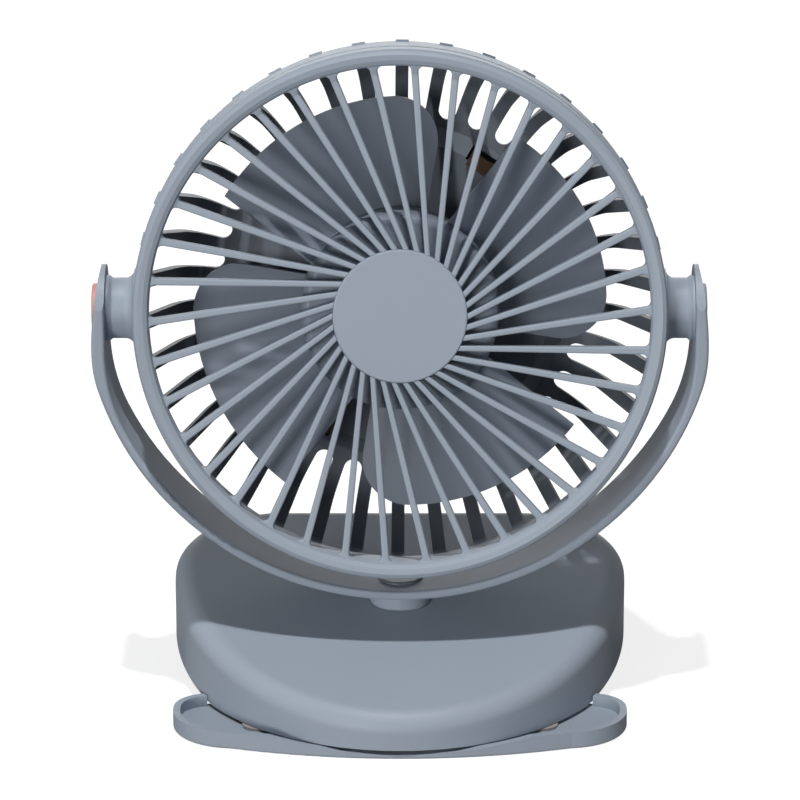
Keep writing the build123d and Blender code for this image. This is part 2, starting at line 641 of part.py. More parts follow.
def blade_outline():
    """The blade seen from the front: an annular sector with rounded outer corners."""
    start = -BLADE_SPAN / 2
    end = BLADE_SPAN / 2
    inner = HUB_R - 1.2
    low = on_circle(BLADE_TIP_R, start)
    high = on_circle(BLADE_TIP_R, end)
    root_low = on_circle(inner, start - BLADE_ROOT_LOW)
    root_high = on_circle(inner, end + BLADE_ROOT_HIGH)
    with BuildSketch() as sketch:
        with BuildLine():
            ThreePointArc(low, (BLADE_TIP_R, 0), high)
            Line(high, root_high)
            ThreePointArc(root_high, (inner, 0), root_low)
            Line(root_low, low)
        make_face()
        tips = [v for v in sketch.vertices() if math.hypot(v.X, v.Y) > BLADE_TIP_R - 1]
        trailing = [v for v in tips if v.Y < 0]
        leading = [v for v in tips if v.Y > 0]
        fillet(trailing, BLADE_CORNER)
        fillet(leading, BLADE_LEAD_CORNER)
    return sketch.sketch


def make_impeller():
    sheet = loft([blade_strip(HUB_R - 8, BLADE_CHORD_ROOT), blade_strip(BLADE_TIP_R + 4, BLADE_CHORD_TIP)])
    prism = extrude_y(blade_outline(), -BLADE_FRONT - 4, BLADE_REAR + 4)
    blade = sheet & prism
    front = -HUB_FRONT
    rear = front + HUB_LENGTH
    hub = disc_y(HUB_R, front, rear)
    hub = fillet(hub.edges().filter_by(GeomType.CIRCLE).sort_by(Axis.Y)[0], HUB_ROUND)
    hollow = disc_y(HUB_R - HUB_WALL, front + HUB_WALL, rear + PAST)
    collar_rear = -CAN_FRONT + CAN_LENGTH - 2.0
    collar = disc_y(CAN_R + COLLAR_WALL, front + 0.5, collar_rear)
    collar = collar - disc_y(CAN_R + FIT_GAP, front, collar_rear + PAST)
    fins = block(CAN_R + 1.0, HUB_R - 0.8, front + 0.5, collar_rear - 1.0, -FIN_THICK / 2, FIN_THICK / 2)
    blades = around_head(blade, BLADE_COUNT, BLADE_PHASE)
    outside = [b - disc_y(HUB_R - 0.6, -FAR, FAR) for b in blades]
    return in_head((hub - hollow) + collar + around_head(fins, FIN_COUNT) + outside)


# ---------------------------------------------------------------- yoke
def arc_x(radius, dz):
    """Half-width of an arc of the yoke at a height above the tilt axis."""
    return math.sqrt(radius ** 2 - (YOKE_RISE - dz) ** 2)


def arc_up(radius, dz, side):
    """Direction upwards along an arc of the yoke at a height above the tilt axis."""
    return Vector(side * (YOKE_RISE - dz) / radius, arc_x(radius, dz) / radius)


def yoke_outline():
    """Front view of the yoke, about the tilt axis: a U that thickens into the two ears."""
    inner_r = YOKE_R - YOKE_WALL
    outer_x = arc_x(YOKE_R, -BLEND_OUT)
    inner_x = arc_x(inner_r, -BLEND_IN)
    with BuildSketch() as sketch:
        with BuildLine():
            ThreePointArc((outer_x, -BLEND_OUT), (0, YOKE_RISE - YOKE_R), (-outer_x, -BLEND_OUT))
            ThreePointArc((-inner_x, -BLEND_IN), (0, YOKE_RISE - inner_r), (inner_x, -BLEND_IN))
            for side in (1, -1):
                Spline((side * outer_x, -BLEND_OUT), (side * EAR_BELLY, 0), (side * EAR_TIP, EAR_R),
                       tangents=[arc_up(YOKE_R, -BLEND_OUT, side), Vector(-side * EAR_LEAN, 1)])
                Line((side * EAR_TIP, EAR_R), (side * EAR_INNER, EAR_R))
                Line((side * EAR_INNER, EAR_R), (side * EAR_INNER, -EAR_FOOT))
                Spline((side * EAR_INNER, -EAR_FOOT), (side * inner_x, -BLEND_IN),
                       tangents=[Vector(0, -1), -arc_up(inner_r, -BLEND_IN, side)])
        make_face()
    return sketch.sketch


def make_yoke():
    half = YOKE_DEPTH / 2
    band = extrude(Plane.XZ * yoke_outline(), half, both=True)
    below = block(-FAR, FAR, -half, half, -FAR, 0)
    band = band & (below + rod_x(EAR_R, -FAR, FAR))
    edges = [e for e in band.edges()
             if e.center().Z < -EAR_FOOT / 2 and abs(abs(e.center().Y) - half) < 0.1]
    band = Pos(0, 0, PIVOT_HEIGHT) * fillet(edges, YOKE_EDGE)
    boss = rod_z(BOSS_R, SEAT_HEIGHT, YOKE_BOTTOM + 0.8)
    boss = fillet(boss.edges().filter_by(GeomType.CIRCLE).sort_by(Axis.Z)[0], BOSS_ROUND)
    band = band + boss - rod_z(POST_R, SEAT_HEIGHT - PAST, YOKE_FLOOR + PAST)
    band = band - rod_z(POST_HEAD_R + SEAT_GAP, POST_TOP, YOKE_FLOOR + PAST)
    for side in (1, -1):
        hole = rod_x(PIN_R, EAR_INNER - PAST, EAR_BELLY + PAST, z=PIVOT_HEIGHT)
        pocket = rod_x(BUTTON_R + SEAT_GAP, POCKET_BOTTOM, EAR_BELLY + PAST, z=PIVOT_HEIGHT)
        cut = hole + pocket
        band = band - (cut if side > 0 else mirror(cut, Plane.YZ))
    return band


def pivot_pin():
    """A tilt pin from the ear into the neck, on the right-hand side."""
    return rod_x(PIN_R, PIN_END, POCKET_BOTTOM, z=PIVOT_HEIGHT)


def make_pivot_pin_right():
    return pivot_pin()


def make_pivot_pin_left():
    """The left pin is hollow for the wires and seats the switch."""
    pin = mirror(pivot_pin(), Plane.YZ)
    return pin - rod_x(PIN_BORE_R, -EAR_BELLY, -PIN_END + PAST, z=PIVOT_HEIGHT)


def make_tilt_washers():
    ring = rod_x(WASHER_R, NECK_END, EAR_INNER, z=PIVOT_HEIGHT)
    ring = ring - rod_x(PIN_R + FIT_GAP, NECK_END - PAST, EAR_INNER + PAST, z=PIVOT_HEIGHT)
    return Compound(children=[ring, mirror(ring, Plane.YZ)])


def make_pivot_cap():
    cap = rod_x(BUTTON_R, POCKET_BOTTOM, EAR_BELLY + SEAT_GAP, z=PIVOT_HEIGHT)
    edge = cap.edges().filter_by(GeomType.CIRCLE).sort_by(Axis.X)[-1]
    return fillet(edge, BUTTON_ROUND)


def make_speed_button():
    """The coral push-button: a disc with its outer edge rounded, in the left ear."""
    disc = rod_x(BUTTON_R, -BUTTON_FACE, -BUTTON_BACK, z=PIVOT_HEIGHT)
    edge = disc.edges().filter_by(GeomType.CIRCLE).sort_by(Axis.X)[0]
    return fillet(edge, BUTTON_ROUND)


def make_button_switch():
    """A low dome switch under the button, in the bottom of the pocket."""
    dome_face = POCKET_BOTTOM + SWITCH_BOARD + SWITCH_DOME
    board = rod_x(BUTTON_R - SEAT_GAP, -POCKET_BOTTOM - SWITCH_BOARD, -POCKET_BOTTOM, z=PIVOT_HEIGHT)
    return board + rod_x(SWITCH_DOME_R, -dome_face, -POCKET_BOTTOM, z=PIVOT_HEIGHT)


# ---------------------------------------------------------------- swivel
def make_swivel_post():
    end = SEAT_HEIGHT - SEAT_THICK - SPRING_WASHER_THICK - NUT_THICK - POST_END
    post = rod_z(POST_R, end, POST_TOP)
    head = rod_z(POST_HEAD_R, POST_TOP, POST_TOP + POST_HEAD)
    head = fillet(head.edges().filter_by(GeomType.CIRCLE).sort_by(Axis.Z)[-1], BOSS_ROUND)
    return post + head - rod_z(POST_BORE_R, end - PAST, POST_TOP + POST_HEAD + PAST)


def make_swivel_washer():
    top = SEAT_HEIGHT - SEAT_THICK
    ring = rod_z(POST_HEAD_R + 1.5, top - SPRING_WASHER_THICK, top)
    return ring - rod_z(POST_R + FIT_GAP, top - FAR, top + PAST)


def make_swivel_nut():
    top = SEAT_HEIGHT - SEAT_THICK - SPRING_WASHER_THICK
    nut = Pos(0, 0, top - NUT_THICK) * extrude(RegularPolygon(NUT_R, 6), NUT_THICK)
    return nut - rod_z(POST_R, top - FAR, top + PAST)


# ---------------------------------------------------------------- base
def base_plan(inset=0.0):
    """Plan of the upper jaw: half-ellipse nose, round rear corners."""
    a = BASE_HALF_WIDTH - inset
    nose = BASE_NOSE + BASE_WIDEST - inset
    rear = BASE_REAR - inset
    corner = rear - BASE_WIDEST
    with BuildSketch() as sketch:
        with BuildLine():
            EllipticalCenterArc((0, BASE_WIDEST), a, nose, HALF_TURN, arc_size=HALF_TURN)
            RadiusArc((a, BASE_WIDEST), (a - corner, rear), -corner)
            Line((a - corner, rear), (-a + corner, rear))
            RadiusArc((-a + corner, rear), (-a, BASE_WIDEST), -corner)
        make_face()
    return sketch.sketch


def top_arc(lower=0.0):
    """The crowned top line of the upper jaw in side view, from nose to rear."""
    return ThreePointArc((-BASE_NOSE - TOP_OVERRUN, NOSE_TOP - NOSE_DROP - lower), (0, MIDDLE_TOP - lower),
                         (BASE_REAR + TOP_OVERRUN, REAR_TOP + REAR_LIFT - lower))


def base_side():
    """Side view of the upper jaw, as a solid across the whole width."""
    with BuildSketch(Plane.YZ) as sketch:
        with BuildLine():
            top = top_arc()
            Polyline(top @ 1, (BASE_REAR + TOP_OVERRUN, SKIRT_HEIGHT), (SKIRT_FROM, SKIRT_HEIGHT),
                     (-LIP_FLAT_TO, LIP_HEIGHT), (-BASE_NOSE - TOP_OVERRUN, LIP_HEIGHT), top @ 0)
        make_face()
    return extrude(sketch.sketch, BASE_HALF_WIDTH + PAST, both=True)


def base_room(inset):
    """The space inside the upper jaw's top and side walls, down past the standing surface."""
    with BuildSketch(Plane.YZ) as sketch:
        with BuildLine():
            top = top_arc(inset)
            Polyline(top @ 1, (BASE_REAR + TOP_OVERRUN, -BASE_REAR), (-BASE_NOSE - TOP_OVERRUN, -BASE_REAR),
                     top @ 0)
        make_face()
    below = extrude(sketch.sketch, BASE_HALF_WIDTH + PAST, both=True)
    room = extrude(base_plan(inset), REAR_TOP + PAST) & below
    return fillet(top_edges(room), BASE_ROUND - inset)


def screw_points():
    """Places of the four base screws."""
    return [(x, y) for x in (-BASE_SCREW_X, BASE_SCREW_X) for y in (BASE_SCREW_FRONT, BASE_SCREW_REAR)]


def top_edges(solid):
    """The outline of a solid's large upward face."""
    upward = [f for f in solid.faces() if f.normal_at().Z > 0.5]
    return max(upward, key=lambda f: f.area).edges()


def make_base_top_shell():
    tall = REAR_TOP + PAST
    outer = extrude(base_plan(), tall) & base_side()
    outer = fillet(top_edges(outer), BASE_ROUND)
    shell = outer - base_room(BASE_WALL)
    bosses = [rod_z(SCREW_BOSS_R, FLOOR_TOP, tall, x, y) for x, y in screw_points()]
    seat = rod_z(BOSS_R + SEAT_RIM, SEAT_HEIGHT - SEAT_THICK, tall)
    shell = shell + ((Part() + bosses + seat) & outer)
    shell = shell - rod_z(BOSS_R + MOVE_GAP, SEAT_HEIGHT, tall)
    shell = shell - rod_z(POST_R + FIT_GAP, 0, tall)
    for x, y in screw_points():
        shell = shell - rod_z(BASE_SCREW_R, 0, FLOOR_TOP + SCREW_LENGTH, x, y)
    half_w = SOCKET_WIDTH / 2 + 0.1
    half_h = SOCKET_HEIGHT / 2 + 0.1
    start = BOARD_BACK - PAST
    socket = block(-half_w, half_w, start, BASE_REAR + PAST, SOCKET_Z - half_h, SOCKET_Z + half_h)
    light = disc_y(LIGHT_R, start, BASE_REAR + PAST, x=LIGHT_X, z=SOCKET_Z)
    return shell - socket - light


def lug_shape():
    """A hinge lug in side view: round at the pin, running up into the floor."""
    top = SKIRT_HEIGHT + 0.6
    with BuildSketch(Plane.YZ) as sketch:
        with Locations((HINGE_Y, HINGE_Z)):
            Circle(HINGE_LUG_R)
        with Locations((HINGE_Y, (HINGE_Z + top) / 2)):
            Rectangle(2 * HINGE_LUG_R, top - HINGE_Z)
    return sketch.sketch


def make_base_bottom_shell():
    """Floor of the upper jaw: it closes the battery space and is the mouth's ceiling."""
    plate = block(-FAR, FAR, -FLOOR_NOSE, FAR, SKIRT_HEIGHT, FLOOR_TOP)
    step = block(-FAR, FAR, -FAR, -FLOOR_NOSE + FLOOR_THICK, LEDGE_HEIGHT, FLOOR_TOP)
    step = step - block(-FAR, FAR, -FAR, -FLOOR_NOSE, LEDGE_HEIGHT + LEDGE_THICK, FAR)
    plate = (plate + step) & base_room(BASE_WALL + SEAT_GAP)
    lug = extrude(lug_shape(), LUG_WIDTH / 2, both=True)
    for side in (1, -1):
        plate = plate + Pos(side * LUG_X, 0, 0) * lug
    plate = plate - rod_x(HINGE_PIN_R + FIT_GAP, -FAR, FAR, HINGE_Y, HINGE_Z)
    for x, y in screw_points():
        plate = plate - rod_z(BASE_SCREW_R + 0.1, 0, FAR, x, y)
        plate = plate - rod_z(BASE_SCREW_R * SCREW_HEAD_SHARE + 0.2, 0, SKIRT_HEIGHT + SCREW_HEAD, x, y)
    return plate


def make_base_screws():
    top = SKIRT_HEIGHT + SCREW_HEAD
    reach = BASE_SCREW_R * SCREW_HEAD_SHARE
    screws = []
    for x, y in screw_points():
        shank = rod_z(BASE_SCREW_R, top, top + SCREW_LENGTH - SCREW_HEAD, x, y)
        head = rod_z(reach, SKIRT_HEIGHT, top, x, y)
        slot = block(x - reach, x + reach, y - SCREW_SLOT / 2, y + SCREW_SLOT / 2,
                     SKIRT_HEIGHT - PAST, SKIRT_HEIGHT + 0.5)
        screws.append(shank + head - slot)
    return Compound(children=screws)


def make_lip_pad():
    """Rubber strip under the nose lip, resting on the lower jaw when shut."""
    half = LIP_PAD_WIDTH / 2
    strip = block(-half, half, -BASE_NOSE, -FLOOR_NOSE + 1.6, JAW_FLOOR, LEDGE_HEIGHT)
    return strip & extrude(base_plan(BASE_WALL + SEAT_GAP + LIP_PAD_SET_IN), SKIRT_HEIGHT)


def make_battery_cell():
    height = FLOOR_TOP + CELL_GAP + CELL_R
    can = rod_x(CELL_R, -CELL_LENGTH / 2, CELL_LENGTH / 2, CELL_Y, height)
    tip = rod_x(CELL_R * 0.35, CELL_LENGTH / 2, CELL_LENGTH / 2 + CELL_TIP, CELL_Y, height)
    return can + tip


def make_battery_cradle():
    """End saddles that hold the cell, one on each side of it at each end."""
    middle = CELL_LENGTH / 2 - CRADLE_SET_IN
    round_cell = rod_x(CELL_R + CELL_GAP, -FAR, FAR, CELL_Y, FLOOR_TOP + CELL_GAP + CELL_R)
    saddles = []
    for x in (-middle, middle):
        saddle = block(x - CRADLE_THICK / 2, x + CRADLE_THICK / 2, CELL_Y - CELL_R, CELL_Y + CELL_R,
                       FLOOR_TOP, FLOOR_TOP + CELL_R * 0.8)
        saddles += (saddle - round_cell).solids()
    return Compound(children=saddles)


def make_control_board():
    half_w = CONTROL_BOARD_WIDTH / 2
    half_d = CONTROL_BOARD_DEPTH / 2
    low = FLOOR_TOP + CONTROL_STAND
    top = low + BOARD_THICK
    y = CONTROL_BOARD_Y
    board = block(-half_w, half_w, y - half_d, y + half_d, low, top)
    chip = block(-CONTROL_CHIP / 2, CONTROL_CHIP / 2, y - CONTROL_CHIP, y - 1.0, top, top + 1.4)
    coil = block(CONTROL_CHIP + 1.0, CONTROL_CHIP + 1.0 + CONTROL_COIL, y - CONTROL_COIL, y, top, top + 2.6)
    inset = 2 * BOARD_FOOT_R
    feet = [rod_z(BOARD_FOOT_R, FLOOR_TOP, low, sx * (half_w - inset), y + sy * (half_d - inset))
            for sx in (1, -1) for sy in (1, -1)]
    return board + chip + coil + feet


def make_charge_board():
    half = CHARGE_BOARD_WIDTH / 2
    top = FLOOR_TOP + CHARGE_BOARD_HEIGHT
    return block(-half, half, BOARD_BACK - BOARD_THICK, BOARD_BACK, FLOOR_TOP, top)


def make_usb_socket():
    half_w = SOCKET_WIDTH / 2
    half_h = SOCKET_HEIGHT / 2
    wall = 0.4
    z = SOCKET_Z
    can = block(-half_w, half_w, BOARD_BACK, BASE_REAR - SEAT_GAP, z - half_h, z + half_h)
    can = fillet(can.edges().filter_by(Axis.Y), half_h - 0.1)
    hole = block(-half_w + wall, half_w - wall, BOARD_BACK + 1.0, BASE_REAR + PAST,
                 z - half_h + wall, z + half_h - wall)
    hole = fillet(hole.edges().filter_by(Axis.Y), half_h - wall - 0.1)
    tongue = block(-half_w + 1.4, half_w - 1.4, BOARD_BACK, BASE_REAR - 1.0, z - 0.35, z + 0.35)
    return can - hole + tongue


def make_charge_light():
    return disc_y(LIGHT_R - FIT_GAP, BOARD_BACK, BASE_REAR, x=LIGHT_X, z=SOCKET_Z)


# ---------------------------------------------------------------- lower jaw
def jaw_plan(inset=0.0):
    """Plan of the jaw's wide front part."""
    w = JAW_HALF_WIDTH - inset
    front = JAW_FRONT - inset
    cx = JAW_CORNER_X - inset * 0.5
    cy = JAW_CORNER_Y - inset
    corner = JAW_REAR_CORNER - inset
    rear = JAW_SIDE_REAR - JAW_REAR_CORNER + inset
    bulge_x = (w + cx) / 2 + 4.0
    bulge_y = (cy + JAW_SIDE_FRONT) / 2 + 2.0
    with BuildSketch() as sketch:
        with BuildLine():
            ThreePointArc((-cx, -cy), (0, -front), (cx, -cy))
            for side in (1, -1):
                ThreePointArc((side * cx, -cy), (side * bulge_x, -bulge_y), (side * w, -JAW_SIDE_FRONT))
                Line((side * w, -JAW_SIDE_FRONT), (side * w, -JAW_SIDE_REAR))
                RadiusArc((side * w, -JAW_SIDE_REAR), (side * (w - corner), -rear), -side * corner)
            Line((w - corner, -rear), (-w + corner, -rear))
        make_face()
    return sketch.sketch


def tongue_plan():
    """Plan of the jaw's tongue, from the wide part to the hinge."""
    length = TONGUE_REAR + JAW_SIDE_REAR
    middle = (TONGUE_REAR - JAW_SIDE_REAR) / 2
    return Pos(0, middle) * RectangleRounded(2 * TONGUE_HALF_WIDTH, length, TONGUE_CORNER)


def cheek_shape():
    """A hinge cheek in side view: round at the pin, standing on the tongue."""
    with BuildSketch(Plane.YZ) as sketch:
        with Locations((HINGE_Y, HINGE_Z)):
            Circle(CHEEK_R)
        with Locations((HINGE_Y, (HINGE_Z + 1.0) / 2)):
            Rectangle(2 * CHEEK_R, HINGE_Z - 1.0)
    return sketch.sketch


def rim_dip():
    """What is cut from the front wall of the rim, so that it sinks below the nose."""
    with BuildSketch() as sketch:
        with BuildLine():
            ThreePointArc((-DIP_HALF_WIDTH, JAW_RIM), (0, DIP_HEIGHT), (DIP_HALF_WIDTH, JAW_RIM))
            Polyline((DIP_HALF_WIDTH, JAW_RIM), (DIP_HALF_WIDTH, JAW_RIM + PAST),
                     (-DIP_HALF_WIDTH, JAW_RIM + PAST), (-DIP_HALF_WIDTH, JAW_RIM))
        make_face()
    return extrude_y(sketch.sketch, -JAW_FRONT - PAST, -JAW_CORNER_Y)


def make_lower_jaw():
    tray = extrude(jaw_plan(), JAW_RIM)
    tray = fillet(tray.edges().group_by(Axis.Z)[0], JAW_ROUND)
    tray = tray - Pos(0, 0, JAW_FLOOR) * extrude(jaw_plan(JAW_RIM_WIDTH), JAW_RIM)
    tray = tray + extrude(tongue_plan(), JAW_FLOOR)
    # the nose of the upper jaw shuts down into the rim
    tray = tray - Pos(0, 0, JAW_FLOOR) * extrude(base_plan(-MOVE_GAP), JAW_RIM) - rim_dip()
    cheek = extrude(cheek_shape(), CHEEK_WIDTH / 2, both=True)
    for side in (1, -1):
        tray = tray + Pos(side * CHEEK_X, 0, 0) * cheek
    tray = tray - rod_x(HINGE_PIN_R, -FAR, FAR, HINGE_Y, HINGE_Z)
    return tray - foot_blocks()


def foot_blocks():
    """Places of the two non-slip strips let into the underside."""
    half = FOOT_WIDTH / 2
    front = -JAW_CORNER_Y + FOOT_FRONT_SET_IN
    rear = TONGUE_REAR - FOOT_REAR_SET_IN
    return [block(-half, half, front, front + FOOT_DEPTH, 0, FOOT_THICK),
            block(-half, half, rear - FOOT_DEPTH, rear, 0, FOOT_THICK)]


def make_foot_pads():
    return Compound(children=[s for f in foot_blocks() for s in f.solids()])


def make_jaw_pad():
    top = JAW_FLOOR + PAD_THICK
    pad = block(-PAD_HALF_WIDTH, PAD_HALF_WIDTH, -PAD_FRONT, -PAD_REAR, JAW_FLOOR, top)
    pad = fillet(pad.edges().filter_by(Axis.Z), PAD_CORNER)
    reach = PAD_HALF_WIDTH - PAD_CORNER - 1.0
    half_groove = PAD_GROOVE_WIDTH / 2
    groove = block(-reach, reach, -half_groove, half_groove, top - PAD_GROOVE_DEPTH, top + PAST)
    step = (PAD_FRONT - PAD_REAR) / (PAD_GROOVES + 1)
    return pad - [Pos(0, -PAD_REAR - step * (i + 1), 0) * groove for i in range(PAD_GROOVES)]


def make_hinge_pin():
    half = CHEEK_X + CHEEK_WIDTH / 2
    return rod_x(HINGE_PIN_R, -half, half, HINGE_Y, HINGE_Z)


def make_clip_spring():
    """The torsion spring as a closed tube with its leg running down to the jaw floor."""
    half = SPRING_WIDTH / 2
    side = half - SPRING_WIRE
    coil = rod_x(SPRING_OUTER_R, -half, half, HINGE_Y, HINGE_Z)
    leg = block(side, half, HINGE_Y - SPRING_LEG, HINGE_Y, JAW_FLOOR, JAW_FLOOR + SPRING_WIRE)
    bend = block(side, half, HINGE_Y - SPRING_WIRE, HINGE_Y, JAW_FLOOR, HINGE_Z - SPRING_INNER_R)
    return coil + leg + bend - rod_x(SPRING_INNER_R, -FAR, FAR, HINGE_Y, HINGE_Z)


# ---------------------------------------------------------------- all parts
PARTS = {
    "front_grille": make_front_grille,
    "grille_cap": make_grille_cap,
    "rear_shell": make_rear_shell,
    "latch_hooks": make_latch_hooks,
    "rear_cover": make_rear_cover,
    "motor_mount": make_motor_mount,
    "motor_screws": make_motor_screws,
    "stator_core": make_stator_core,
    "stator_coils": make_stator_coils,
    "motor_board": make_motor_board,
    "motor_bearings": make_motor_bearings,
    "motor_shaft": make_motor_shaft,
    "shaft_clip": make_shaft_clip,
    "rotor_can": make_rotor_can,
    "rotor_magnet": make_rotor_magnet,
    "impeller": make_impeller,
    "yoke": make_yoke,
    "pivot_pin_left": make_pivot_pin_left,
    "pivot_pin_right": make_pivot_pin_right,
    "tilt_washers": make_tilt_washers,
    "pivot_cap": make_pivot_cap,
    "speed_button": make_speed_button,
    "button_switch": make_button_switch,
    "swivel_post": make_swivel_post,
    "swivel_washer": make_swivel_washer,
    "swivel_nut": make_swivel_nut,
    "base_top_shell": make_base_top_shell,
    "base_bottom_shell": make_base_bottom_shell,
    "base_screws": make_base_screws,
    "lip_pad": make_lip_pad,
    "battery_cell": make_battery_cell,
    "battery_cradle": make_battery_cradle,
    "control_board": make_control_board,
    "charge_board": make_charge_board,
    "usb_socket": make_usb_socket,
    "charge_light": make_charge_light,
    "lower_jaw": make_lower_jaw,
    "foot_pads": make_foot_pads,
    "jaw_pad": make_jaw_pad,
    "hinge_pin": make_hinge_pin,
    "clip_spring": make_clip_spring,
}


def main():
    os.makedirs("parts", exist_ok=True)
    for name, make in PARTS.items():
        write(name, make())


if __name__ == "__main__":
    main()
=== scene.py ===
"""Looks of the clip fan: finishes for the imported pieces, a wound clip spring, and the stage."""

import json
import math

import bmesh
import bpy
from bpy.props import FloatProperty, FloatVectorProperty, IntProperty, PointerProperty
from mathutils import Matrix, Vector


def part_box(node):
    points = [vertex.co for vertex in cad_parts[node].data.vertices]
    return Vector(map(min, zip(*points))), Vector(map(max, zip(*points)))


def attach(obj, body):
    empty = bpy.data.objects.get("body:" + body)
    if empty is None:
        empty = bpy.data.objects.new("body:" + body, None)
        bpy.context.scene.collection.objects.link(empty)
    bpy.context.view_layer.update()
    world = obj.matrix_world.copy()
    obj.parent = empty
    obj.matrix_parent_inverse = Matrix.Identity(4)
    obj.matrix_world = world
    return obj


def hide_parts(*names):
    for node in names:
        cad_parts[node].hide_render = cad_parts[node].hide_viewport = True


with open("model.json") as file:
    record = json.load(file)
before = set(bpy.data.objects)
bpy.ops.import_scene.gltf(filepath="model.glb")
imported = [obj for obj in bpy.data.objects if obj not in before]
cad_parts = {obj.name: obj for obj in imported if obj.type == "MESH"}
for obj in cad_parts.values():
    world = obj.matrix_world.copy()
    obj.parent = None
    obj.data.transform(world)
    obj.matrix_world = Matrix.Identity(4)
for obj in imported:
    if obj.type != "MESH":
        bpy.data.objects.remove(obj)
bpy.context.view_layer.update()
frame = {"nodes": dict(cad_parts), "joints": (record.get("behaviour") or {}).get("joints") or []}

bl_info = {
    "name": "Clip Fan",
    "version": (1, 0, 0),
    "blender": (4, 5, 0),
    "location": "View3D > Sidebar > Clip Fan",
    "description": "Finishes and stage of a small caged fan on a clip base",
    "category": "Object",
}

NODES = frame["nodes"]
JOINTS = {joint["name"]: joint for joint in frame["joints"]}
TILT_PIVOT = Vector(JOINTS["head_tilt"]["pos_m"])
FAN_AXIS = Vector(JOINTS["fan_spin"]["axis"])
HEAD_LEAN = math.atan2(FAN_AXIS.z, -FAN_AXIS.y)

# lengths in metres
BAND_END = 0.005         # rear edge of the head's closed band, behind the tilt axis
BAND_FADE = 0.002        # the painted shade of the guard's inside fades in over this length behind it
LOOKS_BACK = (-0.7, -0.3)  # a face that looks backwards below, and not at all above, these cosines keeps the guard's plain colour, free of the painted shade
FLOW_SIZE = 0.030        # flow marks in moulded plastic
FLOW_SQUEEZE = 0.45      # scale of their pattern in height, so they run upwards
STIPPLE_SIZE = 0.0005    # stipple of rubber
STIPPLE_DEPTH = 0.00004
DUST_SIZE = 0.012
STAIN_SIZE = 0.008       # faint stains on metal
BRUSH_DEPTH = 0.000008
SHEET_PITCH = 0.0005     # motor laminations
SHEET_DEPTH = 0.00004
TURN_PITCH = 0.00028     # turns of the windings
TURN_DEPTH = 0.00007
TRACK_DEPTH = 0.00003    # circuit tracks under the solder mask
PUCKER_SIZE = 0.004      # puckers of the shrink wrap
PUCKER_DEPTH = 0.00006
CELL_TIP = 0.0012        # bare metal at the cell's positive end
CLOUD_SIZE = 0.002       # clouds in the milky lens
PAPER_SIZE = 0.4         # faint unevenness of the floor
WAVE_TURN = 20.0         # a wave texture has this many radians in one unit of its scale
WIRE_SEGMENTS = 12
WIRE_TONE = 0.62         # spring wire against the plated steel
SENSOR_WIDTH = 36.0      # millimetres
CAMERA_REACH = 100.0


# ---------------------------------------------------------------- settings
def colour_setting(name, description, default):
    return FloatVectorProperty(name=name, description=description, default=default,
                               subtype="COLOR", size=3, min=0.0, max=1.0)


def length_setting(name, description, default):
    return FloatProperty(name=name, description=description, default=default,
                         subtype="DISTANCE", unit="LENGTH", min=0.0)


class ClipFanFinishes(bpy.types.PropertyGroup):
    shell: colour_setting("Shell", "Moulded casing of head, yoke and base", (0.341, 0.391, 0.457))
    # the impeller's own colour, darkened further as painted shade that stands in for the shade inside
    # the cage
    blade_with_painted_shade: colour_setting("Blades", "Moulded impeller", (0.222, 0.253, 0.305))
    # painted shade: inside the cage, behind the closed band, the guard's colour is multiplied by this
    # factor, standing in for the shade there
    guard_painted_shade: FloatProperty(name="Guard tone", description="Tone of the guard's inside",
                              default=0.42, min=0.0, max=1.0, subtype="FACTOR")
    latch: colour_setting("Latch hooks", "Snap hooks of the rear cover", (0.075, 0.040, 0.022))
    motor: colour_setting("Motor plastic", "Black moulded motor mount", (0.018, 0.018, 0.020))
    bush: colour_setting("Bushes", "Acetal pins and swivel post", (0.130, 0.140, 0.165))
    coral: colour_setting("Button", "Coral push-button", (0.640, 0.315, 0.265))
    pad: colour_setting("Clamping pads", "Soft pads in the mouth of the clip", (0.360, 0.320, 0.312))
    foot: colour_setting("Foot strips", "Non-slip strips under the jaw", (0.052, 0.060, 0.070))
    board: colour_setting("Circuit boards", "Solder mask", (0.010, 0.085, 0.032))
    wrap: colour_setting("Cell wrap", "Shrink wrap of the battery cell", (0.014, 0.075, 0.260))
    lens: colour_setting("Charge light", "Milky lens", (0.800, 0.800, 0.760))
    steel: colour_setting("Steel", "Plated and ground steel", (0.560, 0.570, 0.590))
    iron: colour_setting("Laminations", "Stacked motor iron", (0.135, 0.140, 0.150))
    magnet: colour_setting("Magnet", "Ferrite ring", (0.022, 0.022, 0.025))
    copper: colour_setting("Windings", "Enamelled copper wire", (0.700, 0.250, 0.105))
    bronze: colour_setting("Bearings", "Sintered bronze", (0.480, 0.290, 0.105))
    grain: length_setting("Grain", "Size of the moulded texture's grain", 0.00035)
    grain_depth: length_setting("Grain depth", "Height of the moulded texture", 0.000012)


class ClipFanSpring(bpy.types.PropertyGroup):
    wire: length_setting("Wire", "Diameter of the spring wire", 0.0010)
    turns: IntProperty(name="Turns", description="Turns of the torsion spring", default=18, min=1)
    turn_steps: IntProperty(name="Steps", description="Steps in each turn", default=28, min=8)


